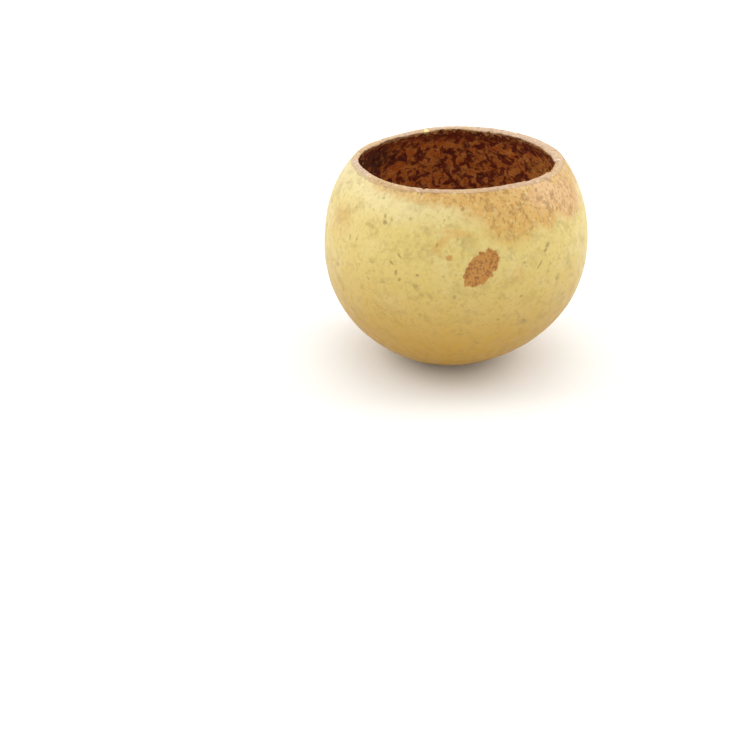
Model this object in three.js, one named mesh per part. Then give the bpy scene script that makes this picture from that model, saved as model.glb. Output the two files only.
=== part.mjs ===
// A dried woody fruit shell, sawn open across its shoulder to make a small round cup.
// It is one piece: a hollow, slightly lopsided ball with a cut mouth above and the scar of the stem below.
// Millimetres, +Z up. The cup stands at Z = 0 on a small flat round the scar.

import * as THREE from "three";
import { mergeVertices } from "three/addons/utils/BufferGeometryUtils.js";

// Outside and inside of the wall. Each is an ellipse below its widest ring, the belly, and a fuller curve above.
// depth goes down from the belly to the tip of the base, before it is flattened, and reach goes up to where
// the shoulder would close if it had not been cut.
const OUTSIDE = { belly: 36, depth: 33.4, reach: 34.9 };
const INSIDE = { belly: 33.7, depth: 30.6, reach: 34.5 };
const SHOULDER_POWER = 2.22; // fullness of the shoulder: 2 is an ellipse, more is squarer
const BASE_LEAN = -1.3; // the tip of the base lies this far along X from the middle of the belly
const MOUTH_SHIFT = -0.8; // the hollow leans this far along X at the mouth, where its wall is thicker on the +X side

// Cut rim
const MOUTH_RISE = 24.3; // from the belly up to the crest of the rim
const RIM_ROUNDING = 0.6; // height over which the two edges of the saw cut are worn round
const RIM_SQUARENESS = 3; // power of the rim's section: 2 is half an ellipse, more has a flatter crest
const RIM_TILT = { x: 0.016, y: 0.0115 }; // rise of the rim for each millimetre along +X and +Y

// Flat foot and stem scar
const FOOT_RADIUS = 7; // outer edge of the flat that the cup stands on
const SCAR_RADIUS = 4.7; // corky disc where the stem came away, inside the flat
const SCAR_RECESS = 0.5; // height of the disc's edge above the flat
const SCAR_CROWN = 0.2; // the middle of the disc hangs this much lower than its edge
const SCAR_STEPS = [0, 0.5, 0.9]; // rings of the disc, as shares of its radius

// A grown shell is not a true round: [number of lobes, their height in mm, direction of the first in radians]
const OUTLINE_LOBES = [[2, 0.14, 0.5], [3, 0.16, 2.1], [5, 0.07, 0.9]];
const RIM_WAVES = [[2, 0.26, 1.06], [3, 0.22, 1.16], [4, 0.17, 0.12], [7, 0.06, 2.6]];
const RIM_WAVE_DEPTH = 9; // the rim's waves and tilt fade out over this height below the crest

// Fineness of the faceted surface
const SIDES = 72;
const BASE_STEPS = 12;
const SHOULDER_STEPS = 7;
const RIM_STEPS = 8;

const STRAW_YELLOW = 0xd9bc72;

const footAngle = Math.acos(FOOT_RADIUS / OUTSIDE.belly);
const bellyHeight = OUTSIDE.depth * Math.sin(footAngle);
const rimHeight = bellyHeight + MOUTH_RISE;
const wallTop = rimHeight - RIM_ROUNDING;

// Radius of a wall at a height above the belly
function shoulderRadius(wall, height) {
  const rise = (height - bellyHeight) / wall.reach;
  return wall.belly * (1 - rise ** SHOULDER_POWER) ** (1 / SHOULDER_POWER);
}

// Points of a wall, as radius and height, from an angle below the belly up to the rim
function wallPoints(wall, lowestAngle) {
  const points = [];
  for (let step = 0; step < BASE_STEPS; step += 1) {
    const angle = lowestAngle * (1 - step / BASE_STEPS);
    points.push(new THREE.Vector2(wall.belly * Math.cos(angle), bellyHeight - wall.depth * Math.sin(angle)));
  }
  for (let step = 0; step <= SHOULDER_STEPS; step += 1) {
    const height = THREE.MathUtils.lerp(bellyHeight, wallTop, step / SHOULDER_STEPS);
    points.push(new THREE.Vector2(shoulderRadius(wall, height), height));
  }
  return points;
}

// Points over the rim from the outside to the inside: a flat crest with rounded edges
function rimPoints() {
  const points = [];
  const power = 2 / RIM_SQUARENESS;
  for (let step = 1; step < RIM_STEPS; step += 1) {
    const angle = (Math.PI * step) / RIM_STEPS;
    const height = wallTop + RIM_ROUNDING * Math.sin(angle) ** power;
    const across = Math.sign(Math.cos(angle)) * Math.abs(Math.cos(angle)) ** power;
    const inner = shoulderRadius(INSIDE, height);
    const outer = shoulderRadius(OUTSIDE, height);
    points.push(new THREE.Vector2(THREE.MathUtils.lerp(inner, outer, (1 + across) / 2), height));
  }
  return points;
}

// Points of the underside, from the axis out to the inner edge of the flat foot
function scarPoints() {
  const disc = SCAR_STEPS.map(
    (share) => new THREE.Vector2(SCAR_RADIUS * share, SCAR_RECESS - SCAR_CROWN * (1 - share * share)),
  );
  return [...disc, new THREE.Vector2(SCAR_RADIUS, 0)];
}

// Sum of a few waves round the shell
function waves(list, angle) {
  return list.reduce((sum, [count, height, start]) => sum + height * Math.cos(count * (angle - start)), 0);
}

// The section, turned round the axis and then made as uneven as a grown shell
function shellGeometry() {
  const outside = [...scarPoints(), ...wallPoints(OUTSIDE, footAngle)];
  const rim = rimPoints();
  const inside = wallPoints(INSIDE, Math.PI / 2).reverse();
  inside[inside.length - 1].x = 0;
  const section = [...outside, ...rim, ...inside];

  const turned = new THREE.LatheGeometry(section, SIDES);
  turned.rotateX(Math.PI / 2);
  const place = turned.getAttribute("position");
  for (let index = 0; index < place.count; index += 1) {
    const x = place.getX(index);
    const y = place.getY(index);
    const height = place.getZ(index);
    const angle = Math.atan2(y, x);
    const swell = 1 + waves(OUTLINE_LOBES, angle) / OUTSIDE.belly;
    const sunk = Math.max(0, 1 - height / bellyHeight);
    const pastOutside = (index % section.length) - outside.length + 1;
    const hollowShare = THREE.MathUtils.clamp(pastOutside / (rim.length + 1), 0, 1) * (height / rimHeight) ** 2;
    const nearRim = THREE.MathUtils.smoothstep(height, rimHeight - RIM_WAVE_DEPTH, rimHeight);
    place.setXYZ(
      index,
      x * swell + BASE_LEAN * sunk * sunk + MOUTH_SHIFT * hollowShare,
      y * swell,
      height + nearRim * (RIM_TILT.x * x + RIM_TILT.y * y + waves(RIM_WAVES, angle)),
    );
  }

  // With places alone, the seam and the two ends on the axis close up into one body
  turned.deleteAttribute("normal");
  turned.deleteAttribute("uv");
  const closed = mergeVertices(turned, 1e-3);
  closed.computeBoundingBox();
  const middle = closed.boundingBox.getCenter(new THREE.Vector3());
  closed.translate(-middle.x, -middle.y, 0);
  closed.computeVertexNormals();
  return closed;
}

const shell = new THREE.Mesh(
  shellGeometry(),
  new THREE.MeshStandardMaterial({ color: STRAW_YELLOW, roughness: 0.6, metalness: 0 }),
);
shell.name = "shell";

const cup = new THREE.Group();
cup.add(shell);

export default cup;
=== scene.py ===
# %% [markdown]
# A dried fruit shell cup
#
# The object is the hard rind of a fruit that was dried, emptied and sawn open across its shoulder.
# It grew as one piece, so this lesson makes one piece: a thin, slightly lopsided ball with a sawn
# mouth, a stained skin, a dark crust inside and the corky scar of the stem underneath. The plain
# solid of the cup is loaded first. It fixes the size and the place of everything that follows.

# %% Load the plain solid
import math

import bmesh
import bpy
from mathutils import Matrix, Vector, noise


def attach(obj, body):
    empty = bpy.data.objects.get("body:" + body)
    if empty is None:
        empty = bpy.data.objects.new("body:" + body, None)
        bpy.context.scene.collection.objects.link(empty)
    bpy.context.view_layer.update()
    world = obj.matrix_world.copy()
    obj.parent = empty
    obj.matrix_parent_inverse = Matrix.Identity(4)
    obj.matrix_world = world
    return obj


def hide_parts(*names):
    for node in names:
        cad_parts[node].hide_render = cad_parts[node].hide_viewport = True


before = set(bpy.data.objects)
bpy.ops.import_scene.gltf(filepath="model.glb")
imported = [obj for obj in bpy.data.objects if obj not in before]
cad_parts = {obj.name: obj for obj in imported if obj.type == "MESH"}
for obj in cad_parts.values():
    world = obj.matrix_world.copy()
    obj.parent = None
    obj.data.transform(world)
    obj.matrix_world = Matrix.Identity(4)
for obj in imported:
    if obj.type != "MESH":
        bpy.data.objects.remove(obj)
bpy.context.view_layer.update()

# %% [markdown]
# The section of the wall
#
# Half of a cut through the shell shows everything that is round about it: the scar and the flat
# foot below, the wall going up outside, the sawn rim, and the wall going down inside. It could be
# drawn by hand as a curve, but the two faces of the wall follow simple formulas: an ellipse below
# the widest ring, the belly, and a fuller curve above it. All sizes are in millimetres until the
# piece is finished, because that is how one would measure a cup.

# %% Sizes of the section
OUTSIDE = {"belly": 36.0, "depth": 33.4, "reach": 34.9}
INSIDE = {"belly": 33.7, "depth": 30.6, "reach": 34.5}
SHOULDER_POWER = 2.22
MOUTH_RISE = 24.3
FOOT_RADIUS = 7.0
SCAR_RADIUS = 4.7
SCAR_RECESS = 0.5
SCAR_CROWN = 0.2
RIM_ROUNDING = 0.6
RIM_SQUARENESS = 3.0

foot_angle = math.acos(FOOT_RADIUS / OUTSIDE["belly"])
belly_height = OUTSIDE["depth"] * math.sin(foot_angle)
rim_height = belly_height + MOUTH_RISE
wall_top = rim_height - RIM_ROUNDING


def wall_radius(wall, height):
    """Radius of one face of the wall at a height."""
    if height < belly_height:
        return wall["belly"] * math.sqrt(max(0.0, 1 - ((belly_height - height) / wall["depth"]) ** 2))
    rise = (height - belly_height) / wall["reach"]
    return wall["belly"] * (1 - rise ** SHOULDER_POWER) ** (1 / SHOULDER_POWER)


def mix(a, b, share):
    """A value between a and b."""
    return a + (b - a) * share


def ease(value, low, high):
    """0 below low, 1 above high, with a soft step between them."""
    share = min(1.0, max(0.0, (value - low) / (high - low)))
    return share * share * (3 - 2 * share)


print(f"belly {belly_height:.1f} mm up, rim {rim_height:.1f} mm up")

# %% [markdown]
# Points along the section
#
# Each point is a radius, a height and how far it has passed over the rim, from 0 outside to 1
# inside. The steps are about 0.7 mm on the walls, and closer on the rim and the scar, where small
# forms are raised later.

# %% Step along the section
BASE_STEPS = 70
SHOULDER_STEPS = 36
RIM_STEPS = 16
SCAR_STEPS = 13
FOOT_STEPS = 5


def wall_points(wall, lowest_angle, over):
    """Points up one face of the wall, from an angle below the belly to just under the rim."""
    for step in range(BASE_STEPS):
        angle = lowest_angle * (1 - step / BASE_STEPS)
        yield wall["belly"] * math.cos(angle), belly_height - wall["depth"] * math.sin(angle), over
    for step in range(SHOULDER_STEPS + 1):
        height = mix(belly_height, wall_top, step / SHOULDER_STEPS)
        yield wall_radius(wall, height), height, over


def rim_points():
    """Points over the rim: a flat crest with two worn edges."""
    power = 2 / RIM_SQUARENESS
    for step in range(1, RIM_STEPS):
        angle = math.pi * step / RIM_STEPS
        height = wall_top + RIM_ROUNDING * math.sin(angle) ** power
        across = math.copysign(abs(math.cos(angle)) ** power, math.cos(angle))
        radius = mix(wall_radius(INSIDE, height), wall_radius(OUTSIDE, height), (1 + across) / 2)
        yield radius, height, step / RIM_STEPS


def underside_points():
    """Points from the axis over the scar's sunken disc and out along the flat foot."""
    for step in range(SCAR_STEPS):
        share = step / SCAR_STEPS
        yield SCAR_RADIUS * share, SCAR_RECESS - SCAR_CROWN * (1 - share * share), 0.0
    for step in range(FOOT_STEPS):
        yield mix(SCAR_RADIUS, FOOT_RADIUS, step / FOOT_STEPS), 0.0, 0.0


section = [*underside_points(), *wall_points(OUTSIDE, foot_angle, 0.0), *rim_points()]
section += reversed([*wall_points(INSIDE, math.pi / 2, 1.0)])
print(len(section), "points along the section")

# %% [markdown]
# Turn the section into a shell
#
# The spin operator turns the chain of edges round the upright axis, like a potter's wheel. The two
# ends lie on the axis, so their copies fall on each other: doubles are merged first, and only then
# are the normals made to point out. The share of the way over the rim and the depth below the rim
# are kept on the vertices as layers, and spin copies them round the shell.

# %% Spin
SIDES = 380

shell = bmesh.new()
over_rim = shell.verts.layers.float.new("over_rim")
rim_depth = shell.verts.layers.float.new("rim_depth")
chain = []
for radius, height, over in section:
    vertex = shell.verts.new((radius, 0.0, height))
    vertex[over_rim] = over
    vertex[rim_depth] = rim_height - height
    if chain:
        shell.edges.new((chain[-1], vertex))
    chain.append(vertex)
bmesh.ops.spin(
    shell, geom=shell.verts[:] + shell.edges[:], cent=(0, 0, 0), axis=(0, 0, 1),
    angle=math.tau, steps=SIDES, use_merge=True,
)
bmesh.ops.remove_doubles(shell, verts=shell.verts, dist=1e-4)
bmesh.ops.recalc_face_normals(shell, faces=shell.faces)
print(len(shell.verts), "vertices,", len(shell.faces), "faces")

# %% [markdown]
# Make it grow uneven
#
# No fruit is truly round. The base leans to the left, the hollow leans to the left at the mouth, so
# that the wall is thicker on the right, the rim is higher on the right and a little wavy, and the
# outline has a few low lobes. These are the same formulas as in the plain solid, so that the
# finished piece lies on it all over.

# %% Lean, tilt and lobes
BASE_LEAN = -1.3
MOUTH_SHIFT = -0.8
RIM_TILT_X, RIM_TILT_Y = 0.016, 0.0115
RIM_WAVE_DEPTH = 9.0
OUTLINE_LOBES = [(2, 0.14, 0.5), (3, 0.16, 2.1), (5, 0.07, 0.9)]
RIM_WAVES = [(2, 0.26, 1.06), (3, 0.22, 1.16), (4, 0.17, 0.12), (7, 0.06, 2.6)]


def waves(waves_round, angle):
    """Sum of a few waves round the shell."""
    return sum(height * math.cos(count * (angle - start)) for count, height, start in waves_round)


for vertex in shell.verts:
    x, y, height = vertex.co
    angle = math.atan2(y, x)
    swell = 1 + waves(OUTLINE_LOBES, angle) / OUTSIDE["belly"]
    sunk = max(0.0, 1 - height / belly_height)
    hollow = vertex[over_rim] * (height / rim_height) ** 2
    near_rim = ease(height, rim_height - RIM_WAVE_DEPTH, rim_height)
    lift = near_rim * (RIM_TILT_X * x + RIM_TILT_Y * y + waves(RIM_WAVES, angle))
    vertex.co = (x * swell + BASE_LEAN * sunk * sunk + MOUTH_SHIFT * hollow, y * swell, height + lift)

places = [vertex.co for vertex in shell.verts]
middle = (Vector(map(min, *places)) + Vector(map(max, *places))) / 2
bmesh.ops.translate(shell, verts=shell.verts, vec=(-middle.x, -middle.y, 0.0))
print(f"moved back over the origin by {middle.x:.2f}, {middle.y:.2f} mm")

# %% [markdown]
# Relief of the skin
#
# The rind is smooth to the hand but never even: it has shallow swells and ripples and a few tiny
# pits. They could be sculpted, but seeded noise is the same on each run, and its sizes are
# millimetres on the cup. Noise tells how far each vertex is moved along its normal. On the foot the
# relief fades out, so that the cup still stands flat.

# %% Skin relief
SKIN_SWELL, SKIN_SWELL_SIZE = 0.14, 15.0
SKIN_RIPPLE, SKIN_RIPPLE_SIZE = 0.05, 4.0
PIT_DEPTH, PIT_SIZE, PIT_RARITY = 0.3, 1.5, 0.5
FOOT_FADE = 2.0


def bumps(place, size, seed):
    """Seeded noise between -1 and 1, with swells of one size."""
    return noise.noise(place / size + Vector((seed, 2 * seed, 3 * seed)))


def skin_relief(place):
    """Swells, ripples and sparse pits of the outside."""
    swell = SKIN_SWELL * bumps(place, SKIN_SWELL_SIZE, 1)
    ripple = SKIN_RIPPLE * bumps(place, SKIN_RIPPLE_SIZE, 2)
    pits = PIT_DEPTH * max(0.0, bumps(place, PIT_SIZE, 3) - PIT_RARITY)
    return (swell + ripple - pits) * ease(place.z, 0.0, FOOT_FADE)


print("skin relief up to about", SKIN_SWELL + SKIN_RIPPLE, "mm")

# %% [markdown]
# Relief of the rim
#
# The saw left the rim rough, and its edges are chipped. At the back the inner edge is crumbly,
# because dried pulp clings to it, and wear has bevelled it on both sides of the back. One short
# crack runs down from the rim in front on the left, and a longer chip took the inner edge away on
# the right. Directions are degrees from the front, positive to the right.

# %% Rim relief
SAW_DEPTH, SAW_SIZE = 0.09, 0.9
CHIP_DEPTH, CHIP_SIZE, CHIP_RARITY = 0.8, 2.6, 0.35
CRUMB_DEPTH, CRUMB_SIZE = 0.4, 1.4
CRUMB_OVER, CRUMB_BACK = (0.45, 0.9), (-10.0, 15.0)
LONG_CHIP_DIRECTION, LONG_CHIP_HALF_WIDTH, LONG_CHIP_DEPTH = 72.0, 12.0, 0.45
LONG_CHIP_END, LONG_CHIP_OVER = (0.75, 1.0), (0.35, 0.6)
BEVEL_DIRECTION, BEVEL_HALF_WIDTH, BEVEL_DROP, BEVEL_DEPTH = 135.0, 75.0, 0.6, 4.0
BEVEL_END, BEVEL_OVER = (0.3, 1.0), (0.2, 0.8)
BEVEL_UNEVENNESS, BEVEL_UNEVEN_SIZE = 0.5, 6.0
CRACK_DIRECTION, CRACK_LENGTH, CRACK_HALF_WIDTH, CRACK_DEPTH = -22.3, 2.4, 0.55, 0.4
CRACK_WANDER, CRACK_WANDER_SIZE = 0.5, 1.5


def aside(place, direction):
    """Degrees between the direction of a place and another direction."""
    return (math.degrees(math.atan2(place.x, -place.y)) - direction + 180) % 360 - 180


def rim_relief(place, over):
    """Saw marks, chips, crumbs and the long chip of the sawn face."""
    chips = CHIP_DEPTH * max(0.0, bumps(place, CHIP_SIZE, 5) - CHIP_RARITY)
    crumbly = ease(over, *CRUMB_OVER) * ease(place.y, *CRUMB_BACK)
    crumbs = CRUMB_DEPTH * bumps(place, CRUMB_SIZE, 6) * crumbly
    off_chip = abs(aside(place, LONG_CHIP_DIRECTION)) / LONG_CHIP_HALF_WIDTH
    long_chip = LONG_CHIP_DEPTH * (1 - ease(off_chip, *LONG_CHIP_END)) * ease(over, *LONG_CHIP_OVER)
    return SAW_DEPTH * bumps(place, SAW_SIZE, 4) + crumbs - chips - long_chip


def bevel_drop(place, over, depth):
    """How far wear has lowered the inner edge."""
    off_middle = min(abs(aside(place, side * BEVEL_DIRECTION)) for side in (1, -1)) / BEVEL_HALF_WIDTH
    uneven = 1 + BEVEL_UNEVENNESS * bumps(place, BEVEL_UNEVEN_SIZE, 10)
    worn = BEVEL_DROP * (1 - ease(off_middle, *BEVEL_END)) * uneven
    return worn * ease(over, *BEVEL_OVER) * max(0.0, 1 - depth / BEVEL_DEPTH)


def crack_relief(place):
    """The short crack down from the rim."""
    wander = CRACK_WANDER * bumps(place, CRACK_WANDER_SIZE, 7)
    off_crack = math.radians(aside(place, CRACK_DIRECTION)) * math.hypot(place.x, place.y)
    across = abs(off_crack + wander)
    length = ease(place.z, rim_height - CRACK_LENGTH, rim_height - 0.5 * CRACK_LENGTH)
    return -CRACK_DEPTH * max(0.0, 1 - across / CRACK_HALF_WIDTH) * length


print("crack", CRACK_LENGTH, "mm long")

# %% [markdown]
# Relief of the inside and the scar
#
# Inside, pulp dried on the wall in lumps and winding ridges. The noise is bent by other noise
# before it is read, which turns round lumps into curls. It leaves a bare strip of wall under the
# rim, which is narrow at the back. The stem scar is crumbly cork.

# %% Pulp and cork relief
PULP_HEIGHT, PULP_SIZE = 0.45, 2.6
PULP_BEND, PULP_BEND_SIZE = 1.0, 2.4
PULP_GRIT, PULP_GRIT_SIZE = 0.1, 1.1
PULP_LEVEL = 0.1
BARE_STRIP, BARE_STRIP_BACK = 1.4, 0.7
BACK_STRIP_END = (8.0, 35.0)
CORK_HEIGHT, CORK_SIZE, CORK_LEVEL = 0.5, 1.3, 0.35


def pulp_relief(place):
    """Lumps, ridges and grit of the dried pulp."""
    bent = place + PULP_BEND * noise.noise_vector(place / PULP_BEND_SIZE)
    lumps = noise.fractal(bent / PULP_SIZE, 1.0, 2.0, 2)
    return PULP_HEIGHT * max(0.0, lumps + PULP_LEVEL) + PULP_GRIT * bumps(place, PULP_GRIT_SIZE, 9)


def bare_strip(place):
    """Width of the bare strip of wall under the rim."""
    return mix(BARE_STRIP_BACK, BARE_STRIP, ease(abs(aside(place, 180)), *BACK_STRIP_END))


def cork_relief(place):
    """Crumbly cork of the stem scar."""
    return CORK_HEIGHT * (abs(bumps(place, CORK_SIZE, 8)) - CORK_LEVEL)


print("pulp lumps about", PULP_SIZE, "mm apart")

# %% [markdown]
# Where the stains are
#
# Juice and handling stained the skin brown under the rim, far down on the right and hardly at all
# on the left, with a few loose patches lower down. Each stain is an ellipse on the skin: the
# direction of its middle, its depth below the rim, its half width in degrees, its half height and
# its strength. The colour is drawn later, with a ragged edge. Here only a smooth strength is worked
# out for each vertex.

# %% Stains, as direction, depth, half width, half height and strength
STAINS = [
    (38, 1, 42, 8.6, 0.95),
    (10, 0, 34, 6.0, 0.6),
    (20, 8, 16, 5.5, 0.5),
    (40, 8, 6, 4.0, 0.55),
    (60, 5, 13, 6.5, 0.9),
    (-30, 0, 36, 3.8, 0.65),
    (-64, 12, 14, 6.0, 0.35),
    (22, 20, 5, 3.4, 0.4),
    (110, 1, 45, 8.0, 0.8),
    (185, 0, 50, 5.0, 0.7),
    (238, 2, 26, 10.0, 0.85),
    (205, 24, 12, 6.0, 0.5),
    (140, 17, 8, 4.0, 0.5),
]
STAIN_FADE = (0.35, 1.25)


def stain_strength(place):
    """How stained the skin is at a place, from 0 to 1."""
    clean = 1.0
    for direction, depth, half_width, half_height, strength in STAINS:
        sideways = aside(place, direction) / half_width
        upward = (rim_height - depth - place.z) / half_height
        clean *= 1 - strength * (1 - ease(math.hypot(sideways, upward), *STAIN_FADE))
    return 1 - clean


print(len(STAINS), "stains")

# %% [markdown]
# Move the vertices
#
# All vertices are read before any is moved, so that each normal still belongs to the smooth shell.
# The share of each surface that a vertex belongs to, and its stain, go into layers, which the
# finishes read later. The worn face of the rim reaches a little way down the skin, furthest on the
# left. The layer for the inside is how far a place lies within the pulp, and is negative outside
# it.

# %% Relief and layers
RIM_WEAR, RIM_WEAR_LEFT, RIM_WEAR_INSIDE = 0.6, 1.0, 4.0
WORN_DIRECTION, WORN_END = -75.0, (15.0, 70.0)
PULP_FADE, PULP_OVER, PULP_START = 4.0, (0.45, 0.8), (-0.1, 0.3)
SCAR_FADE = (0.8 * SCAR_RADIUS, 1.05 * SCAR_RADIUS)
UNDERSIDE = 1.0

layer_names = ("rim", "inside", "scar", "stain")
rim, inside, scar, stain = (shell.verts.layers.float.new(name) for name in layer_names)
scar_middle = Vector((BASE_LEAN - middle.x, -middle.y, 0.0))
shell.normal_update()
moves = []
for vertex in shell.verts:
    place, over, depth = vertex.co, vertex[over_rim], vertex[rim_depth]
    wear = RIM_WEAR + RIM_WEAR_LEFT * (1 - ease(abs(aside(place, WORN_DIRECTION)), *WORN_END))
    vertex[rim] = 1 - ease(depth, 0.0, mix(wear, RIM_WEAR_INSIDE, over))
    in_pulp = min(1.0, (depth - bare_strip(place)) / PULP_FADE)
    vertex[inside] = mix(-1.0, in_pulp, ease(over, *PULP_OVER))
    move = rim_relief(place, over) * vertex[rim] if vertex[rim] else 0.0
    if over < 1:
        move += skin_relief(place) * (1 - over) + crack_relief(place)
        vertex[stain] = stain_strength(place)
    if over > 0:
        move += pulp_relief(place) * ease(vertex[inside], *PULP_START)
    elif place.z < UNDERSIDE:
        vertex[scar] = 1 - ease((place - scar_middle).length, *SCAR_FADE)
        move += cork_relief(place) * vertex[scar]
    moves.append(vertex.normal * move - Vector((0.0, 0.0, bevel_drop(place, over, depth))))
for vertex, move in zip(shell.verts, moves):
    vertex.co += move
    vertex.co.z = max(0.0, vertex.co.z)
print(f"largest move {max(move.length for move in moves):.2f} mm")

# %% [markdown]
# Finish the piece
#
# The piece is turned from millimetres to metres in its mesh, so its object stays unturned and
# unscaled at the origin. It rides on the only body and takes the place of the plain solid.

# %% Make the object
MM = 0.001

bmesh.ops.scale(shell, vec=(MM, MM, MM), verts=shell.verts)
for face in shell.faces:
    face.smooth = True
shell_mesh = bpy.data.meshes.new("fruit_shell")
shell.to_mesh(shell_mesh)
shell.free()
fruit_shell = bpy.data.objects.new("fruit_shell", shell_mesh)
bpy.context.scene.collection.objects.link(fruit_shell)
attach(fruit_shell, "root")
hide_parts("shell")
print("fruit_shell:", len(shell_mesh.polygons), "faces")

# %% [markdown]
# Start the rind's material
#
# Skin, sawn rim, dried pulp and cork run into each other without a seam, so they share one
# material, and the layers of the mesh say which of them a point shows. Colours are sRGB hex values,
# as read off a screen, turned to the linear values that a renderer works with. One small function
# adds a node: it sets the node's options, sets or links its inputs and hands back its outputs.

# %% One function for nodes
def linear(hex_colour):
    """Linear RGBA of an sRGB hex colour."""
    channels = [int(hex_colour[i:i + 2], 16) / 255 for i in (1, 3, 5)]
    return *[c / 12.92 if c < 0.04045 else ((c + 0.055) / 1.055) ** 2.4 for c in channels], 1.0


rind = bpy.data.materials.new("dried fruit rind, scraped outside and sawn")
rind.use_nodes = True
rind.node_tree.nodes.clear()


def add(kind, inputs, **options):
    """Adds a node to the rind, sets its options, sets or links its inputs and gives its outputs."""
    node = rind.node_tree.nodes.new("ShaderNode" + kind)
    for name, value in options.items():
        setattr(node, name, value)
    for name, value in inputs.items():
        if isinstance(value, bpy.types.NodeSocket):
            rind.node_tree.links.new(value, node.inputs[name])
        else:
            node.inputs[name].default_value = value
    return node.outputs


place = add("TexCoord", {})["Object"]
print("material:", rind.name)

# %% [markdown]
# Patterns that come back on every surface
#
# Mottles are soft blotches where noise passes a threshold. A ragged patch is a smooth layer to
# which noise is added before its threshold, so that its edge breaks up. Paint lays a colour over
# another where a pattern shows. All sizes are millimetres on the cup.

# %% Mottles, ragged patches and paint
def per_metre(size):
    """Texture scale that gives swells of a size in millimetres."""
    return 1 / (size * MM)


def mottles(size, low, high, detail=3.0, bend=0.0, at=place):
    """Soft blotches: 0 where noise is below low, 1 where it is above high."""
    field = add(
        "TexNoise", {"Vector": at, "Scale": per_metre(size), "Detail": detail, "Distortion": bend},
    )["Fac"]
    return add(
        "MapRange", {"Value": field, "From Min": low, "From Max": high}, interpolation_type="SMOOTHSTEP",
    )["Result"]


def ragged(share, roughness, size, low, high):
    """A patch with a broken edge: 0 where the roughened share is below low, 1 where above high."""
    field = add("TexNoise", {"Vector": place, "Scale": per_metre(size), "Detail": 4.0})["Fac"]
    rough = add("Math", {0: field, 1: roughness, 2: share}, operation="MULTIPLY_ADD")[0]
    half = roughness / 2
    return add(
        "MapRange", {"Value": rough, "From Min": low + half, "From Max": high + half},
        interpolation_type="SMOOTHSTEP",
    )["Result"]


def paint(colour, coat, share, strength):
    """A colour with a coat of another over it where a pattern shows."""
    cover = add("Math", {0: share, 1: strength}, operation="MULTIPLY")[0]
    return add("Mix", {0: cover, 6: colour, 7: linear(coat)}, data_type="RGBA")[2]


def mottled(colour, coat, patterns):
    """A colour under mottles, each given as size, low, high, detail, bend and strength."""
    for *pattern, strength in patterns:
        colour = paint(colour, coat, mottles(*pattern), strength)
    return colour


print("a 2 mm pattern has a scale of", per_metre(2.0))

# %% [markdown]
# The skin
#
# The outside is the dried rind: straw yellow, paler at the shoulder and golden towards the base.
# The paler shoulder is painted light, and the golden base is partly the rind's own colour and
# partly painted shade.
# Close up it is finely mottled with cream and olive, and it has fine level lines from scraping.
# Those lines are noise that is stretched level by squeezing its place along Z.

# %% Ground colour, mottles and scrape lines of the skin
PALE_RIND = "#d4c48c"
STRAW_RIND = "#ccb566"
GOLDEN_AND_SHADED_RIND = "#ac800e"
OLIVE_RIND = "#947a3a"
GOLDEN_AND_SHADED_BELOW, STRAW_FROM, PALE_LIT_ABOVE = 10.0, 46.0, 56.0
PALE_LIT_SHARE, GOLDEN_AND_SHADED_SHARE = 0.85, 0.95
PALE_MOTTLES = [(7.0, 0.42, 0.72, 4.0, 0.4, 0.35), (0.9, 0.5, 0.74, 3.0, 0.0, 0.25)]
OLIVE_MOTTLES = [
    (4.0, 0.5, 0.7, 4.0, 0.6, 0.34),
    (1.5, 0.5, 0.72, 3.0, 0.0, 0.3),
    (0.8, 0.5, 0.74, 3.0, 0.0, 0.24),
]
SCRAPES, SCRAPE_SHARE, SCRAPE_SQUEEZE = (8.0, 0.52, 0.72, 4.0), 0.25, 18.0

height = add("SeparateXYZ", {"Vector": place})["Z"]
low = add(
    "MapRange", {"Value": height, "From Min": STRAW_FROM * MM, "From Max": GOLDEN_AND_SHADED_BELOW * MM},
    interpolation_type="SMOOTHSTEP",
)["Result"]
high = add(
    "MapRange", {"Value": height, "From Min": STRAW_FROM * MM, "From Max": PALE_LIT_ABOVE * MM},
    interpolation_type="SMOOTHSTEP",
)["Result"]
# painted light: the shoulder is made paler, as if lit from above
skin = paint(linear(STRAW_RIND), PALE_RIND, high, PALE_LIT_SHARE)
skin = mottled(skin, PALE_RIND, PALE_MOTTLES)
level = add("Mapping", {"Vector": place, "Scale": (1, 1, SCRAPE_SQUEEZE)})["Vector"]
skin = paint(skin, PALE_RIND, mottles(*SCRAPES, at=level), SCRAPE_SHARE)
# partly the rind's own golden colour and partly painted shade, darker and more golden towards the base
skin = paint(skin, GOLDEN_AND_SHADED_RIND, low, GOLDEN_AND_SHADED_SHARE)
skin = mottled(skin, OLIVE_RIND, OLIVE_MOTTLES)
print("skin from", STRAW_RIND, "to", GOLDEN_AND_SHADED_RIND)

# %% [markdown]
# Flecks
#
# The skin is peppered with olive flecks. They are the cells of a Voronoi pattern, of which only a
# share is filled, each out to its own radius. The place is shifted by noise first, so that no fleck
# is round.

# %% Scattered flecks
FLECK_OLIVE = "#7d6a30"
FLECKS = [(4.0, 0.95, 0.45, 0.45), (2.2, 0.5, 0.5, 0.5), (1.3, 0.3, 0.5, 0.45)]
FLECK_WANDER, FLECK_WANDER_SIZE = 2.2, 1.3
FLECK_EDGE = (-0.25, 0.45)


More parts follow.
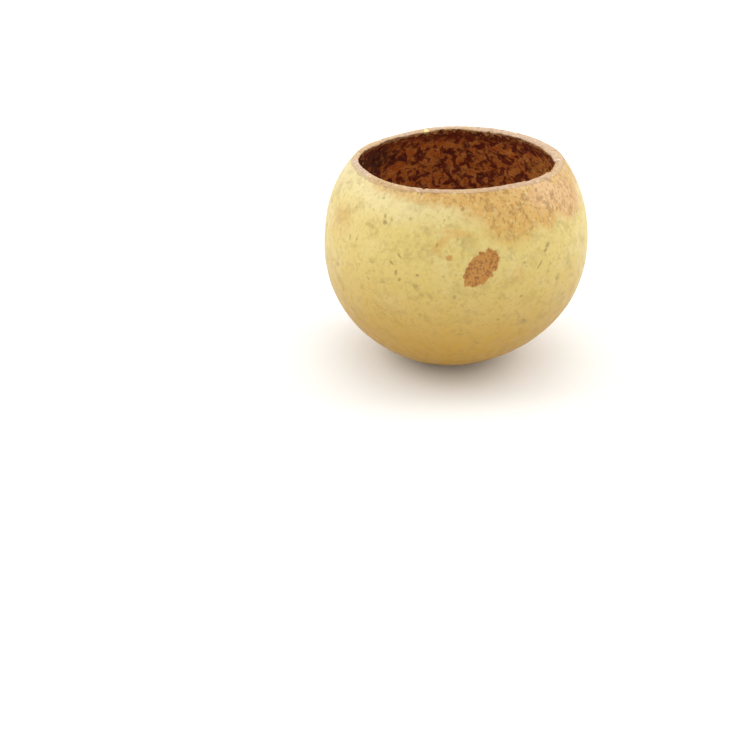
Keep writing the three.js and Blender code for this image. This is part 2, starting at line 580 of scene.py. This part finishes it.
def flecks(spacing, radius, share):
    """Small irregular spots in a share of the cells of a pattern."""
    wander = add(
        "TexNoise", {"Vector": place, "Scale": per_metre(FLECK_WANDER_SIZE * radius), "Detail": 2.0},
    )["Color"]
    spread = (FLECK_WANDER * radius * MM,) * 3
    shifted = add("VectorMath", {0: wander, 1: spread, 2: place}, operation="MULTIPLY_ADD")[0]
    cells = add("TexVoronoi", {"Vector": shifted, "Scale": per_metre(spacing)})
    dice = add("SeparateColor", {"Color": cells["Color"]})
    chosen = add("Math", {0: dice["Red"], 1: share}, operation="LESS_THAN")[0]
    widest = radius / spacing
    reach = add("Math", {0: dice["Green"], 1: widest}, operation="MULTIPLY")[0]
    depth = add("Math", {0: reach, 1: cells["Distance"]}, operation="SUBTRACT")[0]
    edge = {"From Min": FLECK_EDGE[0] * widest, "From Max": FLECK_EDGE[1] * widest}
    filled = add("MapRange", {"Value": depth, **edge}, interpolation_type="SMOOTHSTEP")["Result"]
    return add("Math", {0: chosen, 1: filled}, operation="MULTIPLY")[0]


for spacing, radius, share, strength in FLECKS:
    skin = paint(skin, FLECK_OLIVE, flecks(spacing, radius, share), strength)
print(len(FLECKS), "sizes of flecks")

# %% [markdown]
# Marks with a place of their own
#
# A few large flecks and dashes are where they grew, or where a knife slipped. For each one a
# Mapping node moves and turns space so that the mark becomes a ball of radius 1 around the origin:
# the length of a place in that space is 1 on the mark's edge. The smallest of those lengths tells
# how near the nearest mark is.

# %% Own flecks, as direction, height, half length, half width and turn
OWN_FLECKS = [
    (37.6, 42.9, 0.8, 0.55, 40),
    (36.2, 41.8, 0.7, 0.4, 20),
    (33.0, 38.5, 1.4, 0.25, 50),
    (-36.3, 48.6, 0.55, 0.5, 0),
    (-37.0, 50.0, 0.5, 0.35, -60),
    (-27.0, 41.7, 0.9, 0.28, -40),
    (-30.2, 39.6, 0.8, 0.28, -40),
    (-28.0, 37.3, 0.65, 0.4, 80),
    (-26.4, 35.6, 0.55, 0.4, 60),
    (-18.9, 37.5, 0.45, 0.4, 0),
    (-11.7, 45.3, 0.6, 0.4, 70),
    (24.4, 31.1, 0.5, 0.3, 30),
    (-22.3, 56.1, 0.3, 0.8, 0),
]
OWN_FLECK_EDGE, OWN_FLECK_SHARE = (1.3, 0.8, 1.35, 0.65), 0.6
MARK_DEPTH = 4.0


def from_mark(direction, up, half_length, half_width, turn=0.0, wall=OUTSIDE):
    """Distance from the middle of an oval mark on the wall, 1 at its edge."""
    radius, angle = wall_radius(wall, up), math.radians(direction)
    turned = Matrix.Rotation(angle, 3, "Z") @ Matrix.Rotation(math.radians(-turn), 3, "Y")
    centre = Vector((radius * math.sin(angle), -radius * math.cos(angle), up))
    local = add(
        "Mapping",
        {
            "Vector": place, "Location": centre * MM, "Rotation": turned.to_euler(),
            "Scale": Vector((half_length, MARK_DEPTH, half_width)) * MM,
        },
        vector_type="TEXTURE",
    )["Vector"]
    return add("VectorMath", {0: local}, operation="LENGTH")["Value"]


def nearest_mark(marks):
    """Distance from the nearest of several marks."""
    nearest = from_mark(*marks[0])
    for one in marks[1:]:
        nearest = add("Math", {0: nearest, 1: from_mark(*one)}, operation="MINIMUM")[0]
    return nearest


skin = paint(skin, FLECK_OLIVE, ragged(nearest_mark(OWN_FLECKS), *OWN_FLECK_EDGE), OWN_FLECK_SHARE)
print(len(OWN_FLECKS), "flecks with a place")

# %% [markdown]
# Stains
#
# The stain is a golden brown film through which the yellow still shows, with fine darker strokes
# that run down the skin, a pinkish tan patch on the right and a few faint smears in front. The
# strokes are noise stretched along Z. Small pale specks among the strokes are painted highlights.

# %% Stain colours
STAIN_GOLD = "#c48f3a"
STAIN_BROWN = "#8a5e1e"
STAIN_PINK = "#c99d6a"
STAIN_FILMS = [(0.7, 6.0, 0.0, 0.8, 0.5), (1.3, 2.4, 0.35, 0.75, 0.5)]
PINK_STAINS = [(60, 51, 7.0, 4.5, 0), (44, 54, 6.0, 3.0, 0)]
PINK_EDGE, PINK_SHARE = (1.4, 2.4, 1.3, 0.75), 0.55
SMEARS = [(-8.8, 46.4, 2.0, 0.5, 40), (-4.2, 48.3, 2.6, 0.6, -6), (-11.0, 44.2, 0.9, 0.5, 70)]
SMEAR_EDGE, SMEAR_SHARE = (4.0, 1.0, 2.6, 0.4), 0.45
STROKED_EDGE, STROKE_STRETCH = (1.2, 2.0, 0.2, 0.8), 0.45
STROKES = [(0.7, 0.5, 0.68, 0.62), (1.6, 0.5, 0.68, 0.55)]
PAINTED_HIGHLIGHTS, PAINTED_HIGHLIGHT_SHARE = (1.0, 0.54, 0.7), 0.4

stained = add("Attribute", {}, attribute_name="stain")["Fac"]
for *edge, strength in STAIN_FILMS:
    skin = paint(skin, STAIN_GOLD, ragged(stained, *edge), strength)
skin = paint(skin, STAIN_PINK, ragged(nearest_mark(PINK_STAINS), *PINK_EDGE), PINK_SHARE)
skin = paint(skin, STAIN_GOLD, ragged(nearest_mark(SMEARS), *SMEAR_EDGE), SMEAR_SHARE)
down = add("Mapping", {"Vector": place, "Scale": (1, 1, STROKE_STRETCH)})["Vector"]
stroked = ragged(stained, *STROKED_EDGE)
for *pattern, strength in STROKES:
    strokes = add("Math", {0: stroked, 1: mottles(*pattern, at=down)}, operation="MULTIPLY")[0]
    skin = paint(skin, STAIN_BROWN, strokes, strength)
# painted highlights: small pale specks where the strokes are
painted_highlights = add("Math", {0: stroked, 1: mottles(*PAINTED_HIGHLIGHTS)}, operation="MULTIPLY")[0]
skin = paint(skin, PALE_RIND, painted_highlights, PAINTED_HIGHLIGHT_SHARE)
print("stains from", STAIN_GOLD, "to", STAIN_BROWN)

# %% [markdown]
# The leaf-shaped mark
#
# In front there is a brown scab as large as a thumbnail, shaped like a leaf that points down to the
# left, with a small round one beside it. Its outline is what two circles have in common, so the
# larger of the two distances counts. Inside, it is mottled in two browns.

# %% Leaf mark and its small companion
MARK_TAN = "#ad6c0c"
MARK_BROWN = "#7c430a"
LEAF_SIDES = [(1.5, 42.5, 7.7, 7.7), (11.6, 37.3, 7.7, 7.7)]
LEAF_EDGE, LEAF_SHARE = (0.3, 1.3, 1.02, 0.96), 0.85
LEAF_MOTTLES = [(1.2, 0.48, 0.64, 0.5), (0.6, 0.5, 0.66, 0.65)]
ROUND_MARK = (-6.4, 42.4, 0.85, 0.75)
ROUND_EDGE, ROUND_SHARE = (1.0, 0.8, 1.25, 0.65), 0.65

left_side, right_side = (from_mark(*circle) for circle in LEAF_SIDES)
leaf = ragged(add("Math", {0: left_side, 1: right_side}, operation="MAXIMUM")[0], *LEAF_EDGE)
skin = paint(skin, MARK_TAN, leaf, LEAF_SHARE)
for *pattern, strength in LEAF_MOTTLES:
    blots = add("Math", {0: leaf, 1: mottles(*pattern)}, operation="MULTIPLY")[0]
    skin = paint(skin, MARK_BROWN, blots, strength)
skin = paint(skin, MARK_TAN, ragged(from_mark(*ROUND_MARK), *ROUND_EDGE), ROUND_SHARE)
print(len(LEAF_SIDES), "circles make the leaf mark")

# %% [markdown]
# The inside
#
# Pulp dried to an orange-brown film with curling maroon blotches, each with a paler edge, which is
# painted highlight on the raised edges of the pulp. One bent noise draws them: as its value rises,
# the colour goes from brown over tan to maroon. It is nearly black under the rim on the left, darker
# all along the rim, and ochre with slanting strands on the right. Tan specks over it are partly the
# pulp's paler colour and partly painted highlight.

# %% Inside colours
PULP_BROWN = "#c46616"
PULP_HIGHLIGHT_TAN = "#e2a452"
PULP_MAROON = "#6e1600"
PULP_OCHRE = "#d49c40"
PULP_BLACK = "#300e04"
BLOTCH_SIZE, BLOTCH_BEND = 2.1, 0.5
BLOTCHES = [(PULP_HIGHLIGHT_TAN, 0.36, 0.47, 0.5), (PULP_MAROON, 0.42, 0.57, 0.95), (PULP_BLACK, 0.55, 0.7, 0.55)]
OCHRE_MOTTLES = [(5.0, 0.45, 0.7, 4.0, 0.6, 0.4)]
OCHRE_PATCHES = [(118, 46, 9.0, 6.0, 0, INSIDE), (100, 45, 7.0, 7.0, 0, INSIDE)]
OCHRE_EDGE = (1.0, 2.0, 1.2, 0.7)
STRANDS, STRAND_SHARE = (0.9, 0.42, 0.6), 0.9
STRAND_TURN, STRAND_STRETCH = math.radians(35), 0.25
BLACK_PATCHES = [(-128, 50, 11.0, 6.0, 0, INSIDE), (-104, 52, 7.0, 6.0, 0, INSIDE)]
BLACK_EDGE, BLACK_SHARE = (2.2, 1.8, 1.4, 0.6), 0.85
DARK_BELOW_RIM = 7.0
RIM_SHADES = [(PULP_MAROON, 1.2, 2.2, 0.2, 0.7, 0.8), (PULP_BLACK, 1.6, 1.2, 0.5, 1.0, 0.55)]
TAN_AND_HIGHLIGHT_MOTTLES = [(1.3, 0.54, 0.68, 4.0, 0.8, 0.5)]
MAROON_MOTTLES = [(0.9, 0.48, 0.66, 3.0, 0.0, 0.4)]

blotch = add(
    "TexNoise",
    {"Vector": place, "Scale": per_metre(BLOTCH_SIZE), "Detail": 3.0, "Distortion": BLOTCH_BEND},
)["Fac"]
hollow = mottled(linear(PULP_BROWN), PULP_OCHRE, OCHRE_MOTTLES)
# the tan band between brown and maroon is painted highlight along the edges of the blotches
for coat, low_value, high_value, strength in BLOTCHES:
    edge = {"From Min": low_value, "From Max": high_value}
    share = add("MapRange", {"Value": blotch, **edge}, interpolation_type="SMOOTHSTEP")["Result"]
    hollow = paint(hollow, coat, share, strength)
slanting = {"Rotation": (0, STRAND_TURN, 0), "Scale": (STRAND_STRETCH, 1, 1)}
strands = mottles(*STRANDS, at=add("Mapping", {"Vector": place, **slanting})["Vector"])
ochre = ragged(nearest_mark(OCHRE_PATCHES), *OCHRE_EDGE)
strands = add("Math", {0: ochre, 1: strands}, operation="MULTIPLY")[0]
hollow = paint(hollow, PULP_OCHRE, strands, STRAND_SHARE)
hollow = paint(hollow, PULP_BLACK, ragged(nearest_mark(BLACK_PATCHES), *BLACK_EDGE), BLACK_SHARE)
rim_band = {"From Min": (rim_height - DARK_BELOW_RIM) * MM, "From Max": rim_height * MM}
near_rim = add("MapRange", {"Value": height, **rim_band})["Result"]
for coat, *edge, strength in RIM_SHADES:
    hollow = paint(hollow, coat, ragged(near_rim, *edge), strength)
# tan specks: partly the pulp's paler colour and partly painted highlight
hollow = mottled(hollow, PULP_HIGHLIGHT_TAN, TAN_AND_HIGHLIGHT_MOTTLES)
hollow = mottled(hollow, PULP_MAROON, MAROON_MOTTLES)
print("inside from", PULP_BROWN, "to", PULP_MAROON)

# %% [markdown]
# The sawn rim and the scar
#
# Sawn rind is a dull pinkish tan, browner in front, with dark pores and a few pale specks, which are
# painted highlights on the rough sawn face. The scar is straw-coloured cork with dark holes.

# %% Rim and scar colours
RIM_TAN = "#c4a67c"
RIM_PINK = "#c2a68c"
RIM_BROWN = "#a87f48"
RIM_PORE = "#80603f"
RIM_HIGHLIGHT = "#e6d6c0"
CORK_STRAW = "#c8a868"
CORK_HOLE = "#5f3c1c"
PINK_MOTTLES = [(9.0, 0.4, 0.6, 3.0, 0.0, 1.0)]
BROWN_FROM, BROWN_FULL, BROWN_SHARE = -4.0, -22.0, 0.35
PORE_MOTTLES = [(0.7, 0.5, 0.72, 4.0, 0.0, 0.55), (2.6, 0.5, 0.75, 3.0, 0.0, 0.4)]
RIM_HIGHLIGHT_MOTTLES = [(1.0, 0.58, 0.7, 3.0, 0.0, 0.5)]
CORK_MOTTLES = [(1.1, 0.5, 0.62, 3.0, 0.0, 0.9)]

sawn = mottled(linear(RIM_TAN), RIM_PINK, PINK_MOTTLES)
front_band = {"From Min": BROWN_FROM * MM, "From Max": BROWN_FULL * MM}
forward = add("MapRange", {"Value": add("SeparateXYZ", {"Vector": place})["Y"], **front_band})["Result"]
sawn = paint(sawn, RIM_BROWN, forward, BROWN_SHARE)
sawn = mottled(sawn, RIM_PORE, PORE_MOTTLES)
# painted highlights: pale specks on the rough sawn face
sawn = mottled(sawn, RIM_HIGHLIGHT, RIM_HIGHLIGHT_MOTTLES)
cork = mottled(linear(CORK_STRAW), CORK_HOLE, CORK_MOTTLES)
print("rim", RIM_TAN, "and cork", CORK_STRAW)

# %% [markdown]
# Put the surfaces together
#
# Each layer, roughened so that its edge is broken, lays its surface over the one before it. Dirt
# draws a thin dark line along the outer edge of the rim, juice stains the bare strip under its
# inner edge, and a pale flake of bare wood shows at the back, where a splinter came off. Dry rind
# is satin, with the IOR of 1.5 that is usual for plant matter, so the edges that are seen at a
# slant pale in the light from all round. Bump adds the grain that is too fine for the mesh.

# %% Assemble the material
RIND_IOR = 1.5
SKIN_GLOSS = (0.36, 0.52)
RIM_ROUGHNESS = 0.85
PULP_ROUGHNESS = 0.75
GLOSS_MOTTLES = (2.5, 0.3, 0.7)
GRAIN_SIZE, GRAIN_DEPTH, GRAIN_STRENGTH = 0.5, 0.15, 0.4
RIM_EDGE = (0.7, 2.0, 0.5, 0.85)
DIRT_EDGE, DIRT_SHARE = (1.2, 1.6, 0.2, 0.5), 0.4
PULP_EDGE = (1.6, 1.4, -0.1, 0.15)
JUICE_EDGE, JUICE_SHARE = (0.8, 2.0, -0.45, 0.0), 0.6
FLAKE_YELLOW = "#efd994"
FLAKE, FLAKE_EDGE = (-164, 56.4, 0.9, 0.8, 0, INSIDE), (0.8, 0.8, 1.15, 0.85)

sawn_off = add("Attribute", {}, attribute_name="rim")["Fac"]
rim_share = ragged(sawn_off, *RIM_EDGE)
pulp_depth = add("Attribute", {}, attribute_name="inside")["Fac"]
inside_share = ragged(pulp_depth, *PULP_EDGE)
scar_share = add("Attribute", {}, attribute_name="scar")["Fac"]
colour = paint(skin, RIM_PORE, ragged(sawn_off, *DIRT_EDGE), DIRT_SHARE)
colour = add("Mix", {0: rim_share, 6: colour, 7: sawn}, data_type="RGBA")[2]
colour = paint(colour, PULP_OCHRE, ragged(pulp_depth, *JUICE_EDGE), JUICE_SHARE)
colour = add("Mix", {0: inside_share, 6: colour, 7: hollow}, data_type="RGBA")[2]
colour = add("Mix", {0: scar_share, 6: colour, 7: cork}, data_type="RGBA")[2]
colour = paint(colour, FLAKE_YELLOW, ragged(from_mark(*FLAKE), *FLAKE_EDGE), 1.0)

gloss_range = {"To Min": SKIN_GLOSS[0], "To Max": SKIN_GLOSS[1]}
gloss = add("MapRange", {"Value": mottles(*GLOSS_MOTTLES), **gloss_range})["Result"]
dull = add("Mix", {0: rim_share, 2: gloss, 3: RIM_ROUGHNESS})[0]
dull = add("Mix", {0: inside_share, 2: dull, 3: PULP_ROUGHNESS})[0]
grain = add("TexNoise", {"Vector": place, "Scale": per_metre(GRAIN_SIZE), "Detail": 4.0})["Fac"]
relief = {"Height": grain, "Strength": GRAIN_STRENGTH, "Distance": GRAIN_DEPTH * MM}
bumpy = add("Bump", relief)["Normal"]
surface = add(
    "BsdfPrincipled",
    {"Base Color": colour, "Roughness": dull, "IOR": RIND_IOR, "Normal": bumpy},
)["BSDF"]
add("OutputMaterial", {"Surface": surface})
shell_mesh.materials.append(rind)
print("material with", len(rind.node_tree.nodes), "nodes")

# %% [markdown]
# Floor
#
# The cup stands on a plain white board. A grid of one face is enough for it.

# %% Floor
FLOOR_SIZE = 4.0
BOARD_WHITE = "#f2f2f0"
BOARD_ROUGHNESS = 0.9

floor_mesh = bpy.data.meshes.new("floor")
ground = bmesh.new()
bmesh.ops.create_grid(ground, x_segments=1, y_segments=1, size=FLOOR_SIZE)
ground.to_mesh(floor_mesh)
ground.free()
floor = bpy.data.objects.new("floor", floor_mesh)
bpy.context.scene.collection.objects.link(floor)
board = bpy.data.materials.new("matt white board")
board.use_nodes = True
matt = board.node_tree.nodes["Principled BSDF"].inputs
matt["Base Color"].default_value = linear(BOARD_WHITE)
matt["Roughness"].default_value = BOARD_ROUGHNESS
floor_mesh.materials.append(board)
print("floor", 2 * FLOOR_SIZE, "m wide")

# %% [markdown]
# Light
#
# The light is soft and comes from all round, as in a light tent: a white surround, a large lamp on
# either side and one above. The front is a little darker than the sides, which rounds the form.

# %% Lamps and surround, as place, size and power
LAMPS = {
    "left lamp": ((-0.55, 0.05, 0.45), 0.5, 1.6),
    "right lamp": ((0.55, 0.15, 0.45), 0.5, 1.8),
    "top lamp": ((0.0, 0.15, 0.7), 0.6, 0.8),
}
SURROUND_STRENGTH = 1.05
AIM = Vector((0.0, 0.0, 0.03))

for name, (spot, size, power) in LAMPS.items():
    lamp = bpy.data.lights.new(name, "AREA")
    lamp.size = size
    lamp.energy = power
    holder = bpy.data.objects.new(name, lamp)
    holder.location = spot
    holder.rotation_euler = (AIM - Vector(spot)).to_track_quat("-Z", "Y").to_euler()
    bpy.context.scene.collection.objects.link(holder)

surround = bpy.data.worlds.new("white surround")
surround.use_nodes = True
glow = surround.node_tree.nodes["Background"].inputs
glow["Color"].default_value = (1.0, 1.0, 1.0, 1.0)
glow["Strength"].default_value = SURROUND_STRENGTH
bpy.context.scene.world = surround
bpy.context.scene.view_settings.view_transform = "Standard"
print(len(LAMPS), "lamps")

# %% [markdown]
# Camera
#
# The camera looks down on the cup from a hand's height, from the place that was worked out from the
# outline of the cup: its optical axis passes left of the cup and below it, so the cup stands up and
# to the right in the picture.

# %% Camera
CAMERA_PLACE = Vector((-22.1, -285.0, 145.5)) * MM
CAMERA_PITCH = 28.46
PICTURE_PIXELS = 750
FOCAL_PIXELS = 1100
SENSOR_WIDTH = 36.0

camera_data = bpy.data.cameras.new("camera")
camera_data.sensor_width = SENSOR_WIDTH
camera_data.lens = SENSOR_WIDTH * FOCAL_PIXELS / PICTURE_PIXELS
camera_data.clip_start = 0.01
camera = bpy.data.objects.new("camera", camera_data)
camera.location = CAMERA_PLACE
camera.rotation_euler = (math.radians(90 - CAMERA_PITCH), 0.0, 0.0)
bpy.context.scene.collection.objects.link(camera)
bpy.context.scene.camera = camera
print(f"lens {camera_data.lens:.1f} mm")
